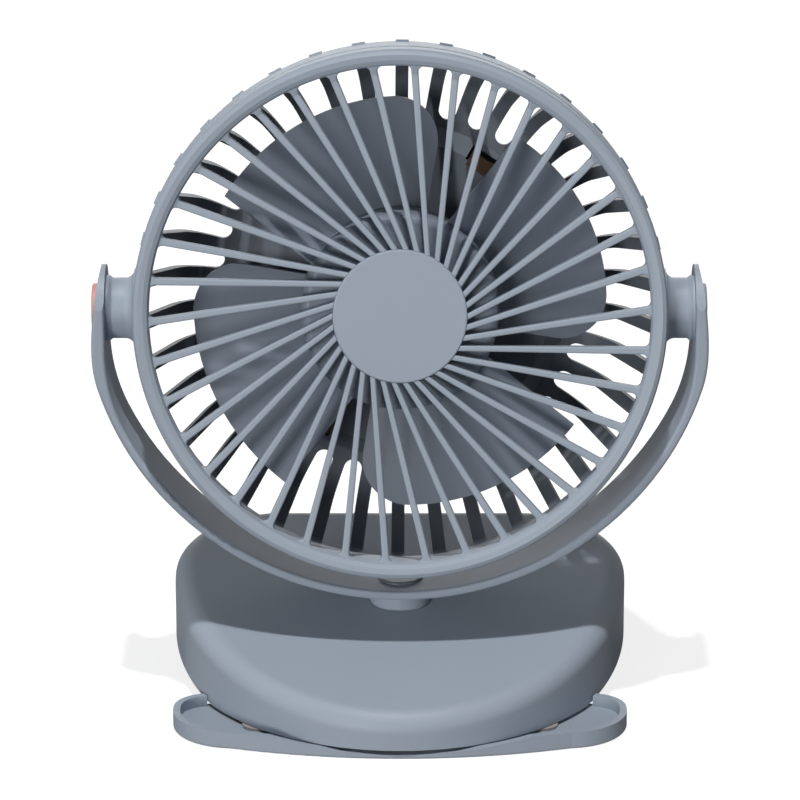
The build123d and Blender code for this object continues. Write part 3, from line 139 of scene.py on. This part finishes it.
class ClipFanStage(bpy.types.PropertyGroup):
    pitch: FloatProperty(name="Pitch", description="How far the camera looks down",
                         default=math.radians(18.0), subtype="ANGLE", unit="ROTATION")
    distance: length_setting("Camera distance", "From the camera to its target", 1.2)
    target_height: length_setting("Target height", "Height that the camera looks at", 0.0854)
    lens: FloatProperty(name="Lens", description="Focal length on a 36 mm sensor", default=192.0,
                        min=1.0, subtype="DISTANCE_CAMERA", unit="CAMERA")
    key: FloatProperty(name="Key light", description="Strength of the key light",
                       default=1.95, min=0.0)
    key_elevation: FloatProperty(name="Key elevation", description="Height of the key light",
                                 default=math.radians(76.0), subtype="ANGLE", unit="ROTATION")
    key_softness: FloatProperty(name="Key softness", description="Apparent size of the key light",
                                default=math.radians(2.0), subtype="ANGLE", unit="ROTATION")
    key_side: FloatProperty(name="Key side", description="Turn of the key light to the left",
                            default=math.radians(10.0), subtype="ANGLE", unit="ROTATION")
    fill: FloatProperty(name="Fill light", description="Strength of the front fill",
                        default=2.05, min=0.0)
    fill_elevation: FloatProperty(name="Fill elevation", description="Height of the front fill",
                                  default=math.radians(4.0), subtype="ANGLE", unit="ROTATION")
    fill_side: FloatProperty(name="Fill side", description="Turn of the front fill to the left",
                             default=math.radians(25.0), subtype="ANGLE", unit="ROTATION")
    fill_softness: FloatProperty(name="Fill softness", description="Apparent size of the front fill",
                                 default=math.radians(20.0), subtype="ANGLE", unit="ROTATION")
    back_fill: FloatProperty(name="Back fill", description="Strength of the soft light behind",
                             default=0.35, min=0.0)
    back_elevation: FloatProperty(name="Back elevation", description="Height of the light behind",
                                  default=math.radians(6.0), subtype="ANGLE", unit="ROTATION")
    back_softness: FloatProperty(name="Back softness", description="Apparent size of the light behind",
                                 default=math.radians(30.0), subtype="ANGLE", unit="ROTATION")
    sky: FloatProperty(name="Sky", description="Strength of the even light from all round",
                       default=0.05, min=0.0)
    floor_size: length_setting("Floor size", "Half the width of the floor", 6.0)
    floor_tone: FloatProperty(name="Floor tone", description="Grey of the pale floor",
                              default=0.36, min=0.0, max=1.0, subtype="FACTOR")
    floor_lift: FloatProperty(name="Floor lift", description="Floor's own light, for the camera alone",
                              default=0.83, min=0.0)


# ---------------------------------------------------------------- node helpers
def add_node(tree, kind, **values):
    """A shader node with its properties set; inputs are given by their names, with _ for a space."""
    node = tree.nodes.new(kind)
    for name, value in values.items():
        if hasattr(node, name):
            setattr(node, name, value)
        else:
            node.inputs[name.replace("_", " ")].default_value = value
    return node


def blank_material(name):
    """A new node material that holds a Principled shader, and the object coordinates."""
    material = bpy.data.materials.new(name)
    material.use_nodes = True
    tree = material.node_tree
    tree.nodes.clear()
    output = add_node(tree, "ShaderNodeOutputMaterial")
    shader = add_node(tree, "ShaderNodeBsdfPrincipled")
    tree.links.new(shader.outputs["BSDF"], output.inputs["Surface"])
    place = add_node(tree, "ShaderNodeTexCoord").outputs["Object"]
    return material, tree, shader, place


def head_place(tree, place):
    """Coordinates centred on the tilt axis, with Y along the fan's own axis."""
    mapping = add_node(tree, "ShaderNodeMapping", vector_type="TEXTURE")
    mapping.inputs["Location"].default_value = TILT_PIVOT
    mapping.inputs["Rotation"].default_value = (-HEAD_LEAN, 0.0, 0.0)
    tree.links.new(place, mapping.inputs["Vector"])
    return mapping.outputs["Vector"]


def noise(tree, place, size, detail=2.0):
    """Noise whose features are about size metres across, from 0 to 1."""
    node = add_node(tree, "ShaderNodeTexNoise", Scale=1.0 / size, Detail=detail, Roughness=0.55)
    tree.links.new(place, node.inputs["Vector"])
    return node.outputs["Fac"]


def stretched(tree, place, scale):
    """Coordinates multiplied along each axis, so that a pattern gets longer or shorter there."""
    mapping = add_node(tree, "ShaderNodeMapping")
    mapping.inputs["Scale"].default_value = scale
    tree.links.new(place, mapping.inputs["Vector"])
    return mapping.outputs["Vector"]


def spread(tree, value, low, high):
    """A 0 to 1 value brought to low to high."""
    node = add_node(tree, "ShaderNodeMapRange", To_Min=low, To_Max=high)
    tree.links.new(value, node.inputs["Value"])
    return node.outputs["Result"]


def shade_colour(tree, shader, colour, value, depth):
    """The colour, darker and lighter by depth as the value goes from 0 to 1."""
    factor = spread(tree, value, 1.0 - depth, 1.0 + depth)
    node = add_node(tree, "ShaderNodeVectorMath", operation="SCALE")
    node.inputs[0].default_value = colour
    tree.links.new(factor, node.inputs["Scale"])
    tree.links.new(node.outputs["Vector"], shader.inputs["Base Color"])


def add_bump(tree, shader, height, distance):
    """A raised surface of the given height in metres, over any bump already there."""
    node = add_node(tree, "ShaderNodeBump", Strength=1.0, Distance=distance)
    tree.links.new(height, node.inputs["Height"])
    before = shader.inputs["Normal"].links
    if before:
        tree.links.new(before[0].from_socket, node.inputs["Normal"])
    tree.links.new(node.outputs["Normal"], shader.inputs["Normal"])


def set_roughness(tree, shader, value, low, high):
    tree.links.new(spread(tree, value, low, high), shader.inputs["Roughness"])


# ---------------------------------------------------------------- materials
def moulded_parts(name, colour, roughness=0.46, grain=None, depth=None, mottle=0.025):
    """Moulded plastic with its node tree, shader and coordinates, for more to be added."""
    finishes = bpy.context.scene.clip_fan_finishes
    grain = grain or finishes.grain
    depth = depth or finishes.grain_depth
    material, tree, shader, place = blank_material(name)
    flow = noise(tree, stretched(tree, place, (1.0, 1.0, FLOW_SQUEEZE)), FLOW_SIZE, 3.0)
    fine = noise(tree, place, grain, 2.0)
    shade_colour(tree, shader, colour, flow, mottle)
    set_roughness(tree, shader, fine, roughness - 0.05, roughness + 0.05)
    add_bump(tree, shader, fine, depth)
    add_bump(tree, shader, flow, depth * 2.0)
    shader.inputs["IOR"].default_value = 1.50
    shader.inputs["Specular IOR Level"].default_value = 0.22
    return material, tree, shader, place


def moulded(name, colour, **looks):
    """Moulded plastic: a fine even grain, faint flow marks and a satin surface."""
    return moulded_parts(name, colour, **looks)[0]


def paint_guard_shade(tree, shader, place, tone):
    """Painted shade: behind the closed band the guard's colour is darkened, standing in for the shade
    inside the cage, except on the faces that look backwards.
    """
    split = add_node(tree, "ShaderNodeSeparateXYZ")
    tree.links.new(head_place(tree, place), split.inputs["Vector"])
    behind = add_node(tree, "ShaderNodeMapRange", From_Min=BAND_END, From_Max=BAND_END + BAND_FADE,
                      To_Min=1.0, To_Max=tone)
    tree.links.new(split.outputs["Y"], behind.inputs["Value"])
    facing = add_node(tree, "ShaderNodeVectorMath", operation="DOT_PRODUCT")
    facing.inputs[1].default_value = FAN_AXIS
    tree.links.new(place.node.outputs["Normal"], facing.inputs[0])
    outside = add_node(tree, "ShaderNodeMapRange", From_Min=LOOKS_BACK[0], From_Max=LOOKS_BACK[1],
                       To_Min=1.0, To_Max=tone)
    tree.links.new(facing.outputs["Value"], outside.inputs["Value"])
    both = add_node(tree, "ShaderNodeMath", operation="MAXIMUM")
    tree.links.new(behind.outputs["Result"], both.inputs[0])
    tree.links.new(outside.outputs["Result"], both.inputs[1])
    scale = add_node(tree, "ShaderNodeVectorMath", operation="SCALE")
    tree.links.new(shader.inputs["Base Color"].links[0].from_socket, scale.inputs[0])
    tree.links.new(both.outputs["Value"], scale.inputs["Scale"])
    tree.links.new(scale.outputs["Vector"], shader.inputs["Base Color"])


def rubber(name, colour):
    """Soft rubber: matt, with a stipple and a little dust in it."""
    material, tree, shader, place = blank_material(name)
    stipple = noise(tree, place, STIPPLE_SIZE, 1.0)
    dust = noise(tree, place, DUST_SIZE, 4.0)
    shade_colour(tree, shader, colour, dust, 0.08)
    set_roughness(tree, shader, stipple, 0.72, 0.88)
    add_bump(tree, shader, stipple, STIPPLE_DEPTH)
    shader.inputs["Sheen Weight"].default_value = 0.15
    shader.inputs["Sheen Roughness"].default_value = 0.6
    return material


def metal(name, colour, roughness, brush=(1.0, 1.0, 1.0), size=0.0006, along_head=False):
    """Metal with brush marks that are long where brush is small."""
    material, tree, shader, place = blank_material(name)
    if along_head:
        place = head_place(tree, place)
    marks = noise(tree, stretched(tree, place, brush), size, 3.0)
    stain = noise(tree, place, STAIN_SIZE, 3.0)
    shade_colour(tree, shader, colour, stain, 0.06)
    set_roughness(tree, shader, marks, roughness - 0.08, roughness + 0.10)
    add_bump(tree, shader, marks, BRUSH_DEPTH)
    shader.inputs["Metallic"].default_value = 1.0
    return material


def banded(tree, place, pitch, direction="Y", kind="BANDS"):
    """Even bands or rings of the given pitch, from 0 to 1."""
    turns = math.tau / (WAVE_TURN * pitch)
    node = add_node(tree, "ShaderNodeTexWave", wave_type=kind, Scale=turns)
    if kind == "BANDS":
        node.bands_direction = direction
    else:
        node.rings_direction = direction
    tree.links.new(place, node.inputs["Vector"])
    return node.outputs["Fac"]


def laminated(name, colour):
    """Thin iron sheets, stacked along the fan's axis."""
    material, tree, shader, place = blank_material(name)
    place = head_place(tree, place)
    sheets = banded(tree, place, SHEET_PITCH)
    shade_colour(tree, shader, colour, sheets, 0.25)
    set_roughness(tree, shader, sheets, 0.42, 0.58)
    add_bump(tree, shader, sheets, SHEET_DEPTH)
    shader.inputs["Metallic"].default_value = 1.0
    return material


def wound(name, colour):
    """Enamelled wire, wound in turns round each tooth of the motor."""
    material, tree, shader, place = blank_material(name)
    turns = banded(tree, head_place(tree, place), TURN_PITCH, "Y", "RINGS")
    shade_colour(tree, shader, colour, turns, 0.30)
    add_bump(tree, shader, turns, TURN_DEPTH)
    shader.inputs["Metallic"].default_value = 1.0
    shader.inputs["Roughness"].default_value = 0.30
    shader.inputs["Coat Weight"].default_value = 0.5
    shader.inputs["Coat Roughness"].default_value = 0.15
    return material


def circuit_board(name, colour):
    """Green solder mask over faint copper tracks."""
    material, tree, shader, place = blank_material(name)
    tracks = add_node(tree, "ShaderNodeTexBrick", offset=0.37, Scale=160.0, Mortar_Size=0.10,
                      Brick_Width=0.62, Row_Height=0.24)
    tree.links.new(place, tracks.inputs["Vector"])
    shade_colour(tree, shader, colour, tracks.outputs["Fac"], 0.45)
    add_bump(tree, shader, tracks.outputs["Fac"], TRACK_DEPTH)
    shader.inputs["Roughness"].default_value = 0.28
    shader.inputs["Coat Weight"].default_value = 0.3
    return material


def shrink_wrapped(name, colour, metal_colour, metal_from):
    """Glossy shrink wrap, slightly puckered, with bare metal at the cell's positive end."""
    material, tree, shader, place = blank_material(name)
    pucker = noise(tree, stretched(tree, place, (0.4, 1.0, 1.0)), PUCKER_SIZE, 2.0)
    split = add_node(tree, "ShaderNodeSeparateXYZ")
    tree.links.new(place, split.inputs["Vector"])
    bare = add_node(tree, "ShaderNodeMath", operation="GREATER_THAN")
    bare.inputs[1].default_value = metal_from
    tree.links.new(split.outputs["X"], bare.inputs[0])
    mix = add_node(tree, "ShaderNodeMix", data_type="RGBA")
    factor, wrap_socket, metal_socket = mix.inputs[0], mix.inputs[6], mix.inputs[7]
    mixed = mix.outputs[2]
    wrap_socket.default_value = (*colour, 1.0)
    metal_socket.default_value = (*metal_colour, 1.0)
    tree.links.new(bare.outputs["Value"], factor)
    tree.links.new(mixed, shader.inputs["Base Color"])
    tree.links.new(bare.outputs["Value"], shader.inputs["Metallic"])
    set_roughness(tree, shader, pucker, 0.20, 0.34)
    add_bump(tree, shader, pucker, PUCKER_DEPTH)
    return material


def milky_lens(name, colour):
    """A milky light pipe."""
    material, tree, shader, place = blank_material(name)
    cloud = noise(tree, place, CLOUD_SIZE, 2.0)
    shade_colour(tree, shader, colour, cloud, 0.05)
    set_roughness(tree, shader, cloud, 0.22, 0.34)
    shader.inputs["Subsurface Weight"].default_value = 0.4
    shader.inputs["Subsurface Scale"].default_value = 0.002
    return material


# ---------------------------------------------------------------- mesh helpers
def finish_mesh(bm, name, material, body, replaced=()):
    """Makes the mesh an object at the origin that rides on its body."""
    mesh = bpy.data.meshes.new(name)
    bm.to_mesh(mesh)
    bm.free()
    for face in mesh.polygons:
        face.use_smooth = True
    piece = bpy.data.objects.new(name, mesh)
    bpy.context.scene.collection.objects.link(piece)
    mesh.materials.append(material)
    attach(piece, body)
    if replaced:
        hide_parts(*replaced)
    return piece


def dress(material, *names):
    """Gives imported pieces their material."""
    for name in names:
        mesh = NODES[name].data
        mesh.materials.clear()
        mesh.materials.append(material)


# ---------------------------------------------------------------- operators
class CLIPFAN_OT_casing(bpy.types.Operator):
    """Finish the moulded casings of head, yoke and base"""
    bl_idname = "clip_fan.casing"
    bl_label = "Casing"

    def execute(self, context):
        finishes = context.scene.clip_fan_finishes
        shell = moulded("shell_plastic", finishes.shell)
        dress(shell, "front_grille", "grille_cap", "yoke", "pivot_cap",
              "base_top_shell", "base_bottom_shell", "lower_jaw", "tilt_washers")
        # the guard's material carries painted shade: its colour is darkened inside the cage, behind
        # the closed band
        guard, tree, shader, place = moulded_parts("guard_plastic_painted_shade", finishes.shell)
        paint_guard_shade(tree, shader, place, finishes.guard_painted_shade)
        dress(guard, "rear_shell", "rear_cover")
        dress(moulded("latch_plastic", finishes.latch, roughness=0.36), "latch_hooks")
        return {"FINISHED"}


class CLIPFAN_OT_impeller(bpy.types.Operator):
    """Finish the impeller"""
    bl_idname = "clip_fan.impeller"
    bl_label = "Impeller"

    def execute(self, context):
        finishes = context.scene.clip_fan_finishes
        # the blade colour is the impeller's own colour with painted shade for the inside of the cage
        dress(moulded("blade_plastic", finishes.blade_with_painted_shade, roughness=0.40), "impeller")
        return {"FINISHED"}


class CLIPFAN_OT_motor(bpy.types.Operator):
    """Finish the motor's pieces"""
    bl_idname = "clip_fan.motor"
    bl_label = "Motor"

    def execute(self, context):
        finishes = context.scene.clip_fan_finishes
        steel = finishes.steel
        dress(moulded("motor_plastic", finishes.motor), "motor_mount", "battery_cradle")
        dress(laminated("core_steel", finishes.iron), "stator_core")
        dress(wound("coil_copper", finishes.copper), "stator_coils")
        dress(metal("bearing_bronze", finishes.bronze, 0.45, size=0.0004), "motor_bearings")
        dress(metal("can_steel", steel, 0.30, brush=(1.0, 0.04, 1.0), along_head=True), "rotor_can")
        dress(metal("ground_steel", steel, 0.20, brush=(1.0, 0.05, 1.0), along_head=True),
              "motor_shaft")
        dress(moulded("magnet_ferrite", finishes.magnet, roughness=0.55), "rotor_magnet")
        dress(metal("clip_steel", steel, 0.35), "shaft_clip", "motor_screws")
        return {"FINISHED"}


class CLIPFAN_OT_pivots(bpy.types.Operator):
    """Finish the pins, washers, swivel and push-button"""
    bl_idname = "clip_fan.pivots"
    bl_label = "Pivots and button"

    def execute(self, context):
        finishes = context.scene.clip_fan_finishes
        dress(moulded("bush_acetal", finishes.bush, roughness=0.34),
              "pivot_pin_left", "pivot_pin_right", "swivel_post")
        dress(metal("zinc_steel", finishes.steel, 0.38), "swivel_washer", "swivel_nut", "base_screws")
        dress(moulded("button_coral", finishes.coral, roughness=0.42), "speed_button")
        return {"FINISHED"}


class CLIPFAN_OT_electrics(bpy.types.Operator):
    """Finish the boards, battery cell, socket and charge light"""
    bl_idname = "clip_fan.electrics"
    bl_label = "Electrics"

    def execute(self, context):
        finishes = context.scene.clip_fan_finishes
        cell_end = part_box("battery_cell")[1].x
        dress(circuit_board("board_green", finishes.board),
              "motor_board", "control_board", "charge_board", "button_switch")
        dress(shrink_wrapped("cell_wrap", finishes.wrap, finishes.steel, cell_end - CELL_TIP),
              "battery_cell")
        dress(metal("socket_steel", finishes.steel, 0.28, brush=(1.0, 0.1, 1.0)), "usb_socket")
        dress(milky_lens("light_lens", finishes.lens), "charge_light")
        return {"FINISHED"}


class CLIPFAN_OT_rubber(bpy.types.Operator):
    """Finish the clamping pads and the foot strips"""
    bl_idname = "clip_fan.rubber"
    bl_label = "Rubber"

    def execute(self, context):
        finishes = context.scene.clip_fan_finishes
        dress(rubber("pad_rubber", finishes.pad), "jaw_pad", "lip_pad")
        dress(rubber("foot_rubber", finishes.foot), "foot_pads")
        return {"FINISHED"}


class CLIPFAN_OT_spring(bpy.types.Operator):
    """Wind the torsion spring of the clip round its hinge pin"""
    bl_idname = "clip_fan.spring"
    bl_label = "Clip spring"

    def execute(self, context):
        finishes = context.scene.clip_fan_finishes
        spring = context.scene.clip_fan_spring
        dress(metal("pin_steel", finishes.steel, 0.24, brush=(0.05, 1.0, 1.0)), "hinge_pin")
        material = metal("spring_steel", [WIRE_TONE * c for c in finishes.steel], 0.34)
        low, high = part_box("clip_spring")
        axis = Vector(JOINTS["clip_open"]["pos_m"])
        radius = spring.wire / 2.0
        coil_r = high.z - axis.z - radius
        advance = (low.x - high.x + spring.wire) / spring.turns / spring.turn_steps
        bm = bmesh.new()
        start = Vector((high.x - radius, axis.y, axis.z - coil_r))
        upright = Matrix.Translation(start) @ Matrix.Rotation(math.radians(90.0), 4, "X")
        bmesh.ops.create_circle(bm, radius=radius, segments=WIRE_SEGMENTS, matrix=upright)
        ring = bm.edges[:]
        bmesh.ops.spin(bm, geom=bm.verts[:] + ring, cent=axis, axis=(1.0, 0.0, 0.0),
                       angle=math.tau * spring.turns, steps=spring.turns * spring.turn_steps,
                       dvec=(advance, 0.0, 0.0), use_merge=False)
        leg = bmesh.ops.extrude_edge_only(bm, edges=ring)["geom"]
        ends = [item for item in leg if isinstance(item, bmesh.types.BMVert)]
        bmesh.ops.translate(bm, verts=ends, vec=(0.0, low.y - axis.y, low.z + radius - start.z))
        bmesh.ops.holes_fill(bm, edges=[e for e in bm.edges if e.is_boundary])
        bmesh.ops.recalc_face_normals(bm, faces=bm.faces[:])
        finish_mesh(bm, "clip_spring_wound", material, "lower_jaw", ["clip_spring"])
        return {"FINISHED"}


class CLIPFAN_OT_stage(bpy.types.Operator):
    """Set the floor, the light and the camera"""
    bl_idname = "clip_fan.stage"
    bl_label = "Stage"

    def execute(self, context):
        stage = context.scene.clip_fan_stage
        make_floor(stage)
        make_lights(stage)
        make_sky(stage)
        make_camera(stage)
        context.scene.view_settings.view_transform = "Standard"
        return {"FINISHED"}


# ---------------------------------------------------------------- stage
def make_floor(stage):
    """A wide pale floor that the camera sees as white, with the fan's shadow on it."""
    tone = stage.floor_tone
    bm = bmesh.new()
    bmesh.ops.create_grid(bm, x_segments=1, y_segments=1, size=stage.floor_size)
    mesh = bpy.data.meshes.new("floor")
    bm.to_mesh(mesh)
    bm.free()
    floor = bpy.data.objects.new("floor", mesh)
    bpy.context.scene.collection.objects.link(floor)
    material, tree, shader, place = blank_material("floor_paper")
    shade_colour(tree, shader, (tone, tone, tone), noise(tree, place, PAPER_SIZE, 2.0), 0.004)
    shader.inputs["Roughness"].default_value = 1.0
    shader.inputs["Specular IOR Level"].default_value = 0.0
    shader.inputs["Emission Color"].default_value = (1.0, 1.0, 1.0, 1.0)
    seen = add_node(tree, "ShaderNodeLightPath").outputs["Is Camera Ray"]
    tree.links.new(spread(tree, seen, 0.0, stage.floor_lift), shader.inputs["Emission Strength"])
    mesh.materials.append(material)


def add_sun(name, strength, softness, elevation, side):
    """A distant lamp at an elevation in front, turned to the left by side."""
    lamp = bpy.data.lights.new(name, "SUN")
    lamp.energy = strength
    lamp.angle = softness
    holder = bpy.data.objects.new(name, lamp)
    bpy.context.scene.collection.objects.link(holder)
    holder.rotation_euler = (math.pi / 2.0 - elevation, 0.0, -side)


def make_lights(stage):
    add_sun("key", stage.key, stage.key_softness, stage.key_elevation, stage.key_side)
    add_sun("front_fill", stage.fill, stage.fill_softness, stage.fill_elevation, stage.fill_side)
    add_sun("back_fill", stage.back_fill, stage.back_softness, stage.back_elevation, math.pi)


def make_sky(stage):
    """Even light from all round; the camera, glossy and clear surfaces see white instead."""
    world = bpy.data.worlds.new("studio")
    bpy.context.scene.world = world
    world.use_nodes = True
    tree = world.node_tree
    tree.nodes.clear()
    output = add_node(tree, "ShaderNodeOutputWorld")
    even = add_node(tree, "ShaderNodeBackground", Strength=stage.sky)
    white = add_node(tree, "ShaderNodeBackground", Strength=1.0)
    for node in (even, white):
        node.inputs["Color"].default_value = (1.0, 1.0, 1.0, 1.0)
    path = add_node(tree, "ShaderNodeLightPath")
    seen = path.outputs["Is Camera Ray"]
    for ray in ("Is Glossy Ray", "Is Transmission Ray"):
        either = add_node(tree, "ShaderNodeMath", operation="MAXIMUM")
        tree.links.new(seen, either.inputs[0])
        tree.links.new(path.outputs[ray], either.inputs[1])
        seen = either.outputs["Value"]
    mix = add_node(tree, "ShaderNodeMixShader")
    tree.links.new(seen, mix.inputs["Fac"])
    tree.links.new(even.outputs["Background"], mix.inputs[1])
    tree.links.new(white.outputs["Background"], mix.inputs[2])
    tree.links.new(mix.outputs["Shader"], output.inputs["Surface"])


def make_camera(stage):
    camera = bpy.data.cameras.new("camera")
    camera.lens = stage.lens
    camera.sensor_width = SENSOR_WIDTH
    camera.clip_end = CAMERA_REACH
    holder = bpy.data.objects.new("camera", camera)
    bpy.context.scene.collection.objects.link(holder)
    away = Vector((0.0, -math.cos(stage.pitch), math.sin(stage.pitch)))
    holder.location = Vector((0.0, 0.0, stage.target_height)) + stage.distance * away
    holder.rotation_euler = (math.pi / 2.0 - stage.pitch, 0.0, 0.0)
    bpy.context.scene.camera = holder


# ---------------------------------------------------------------- panel and registration
OPERATORS = (CLIPFAN_OT_casing, CLIPFAN_OT_impeller, CLIPFAN_OT_motor, CLIPFAN_OT_pivots,
             CLIPFAN_OT_electrics, CLIPFAN_OT_rubber, CLIPFAN_OT_spring, CLIPFAN_OT_stage)


class CLIPFAN_PT_panel(bpy.types.Panel):
    """Sizes, colours and steps of the clip fan"""
    bl_idname = "CLIPFAN_PT_panel"
    bl_label = "Clip Fan"
    bl_space_type = "VIEW_3D"
    bl_region_type = "UI"
    bl_category = "Clip Fan"

    def draw(self, context):
        for group in SETTINGS:
            box = self.layout.box()
            settings = getattr(context.scene, group)
            for name in settings.bl_rna.properties.keys():
                if name not in ("rna_type", "name"):
                    box.prop(settings, name)
        for operator in OPERATORS:
            self.layout.operator(operator.bl_idname)


SETTINGS = {
    "clip_fan_finishes": ClipFanFinishes,
    "clip_fan_spring": ClipFanSpring,
    "clip_fan_stage": ClipFanStage,
}
CLASSES = (*SETTINGS.values(), *OPERATORS, CLIPFAN_PT_panel)


def register():
    for cls in CLASSES:
        bpy.utils.register_class(cls)
    for name, group in SETTINGS.items():
        setattr(bpy.types.Scene, name, PointerProperty(type=group))


def unregister():
    for name in SETTINGS:
        delattr(bpy.types.Scene, name)
    for cls in reversed(CLASSES):
        bpy.utils.unregister_class(cls)


def main():
    register()
    bpy.ops.clip_fan.casing()
    bpy.ops.clip_fan.impeller()
    bpy.ops.clip_fan.motor()
    bpy.ops.clip_fan.pivots()
    bpy.ops.clip_fan.electrics()
    bpy.ops.clip_fan.rubber()
    bpy.ops.clip_fan.spring()
    bpy.ops.clip_fan.stage()


if __name__ == "__main__":
    main()
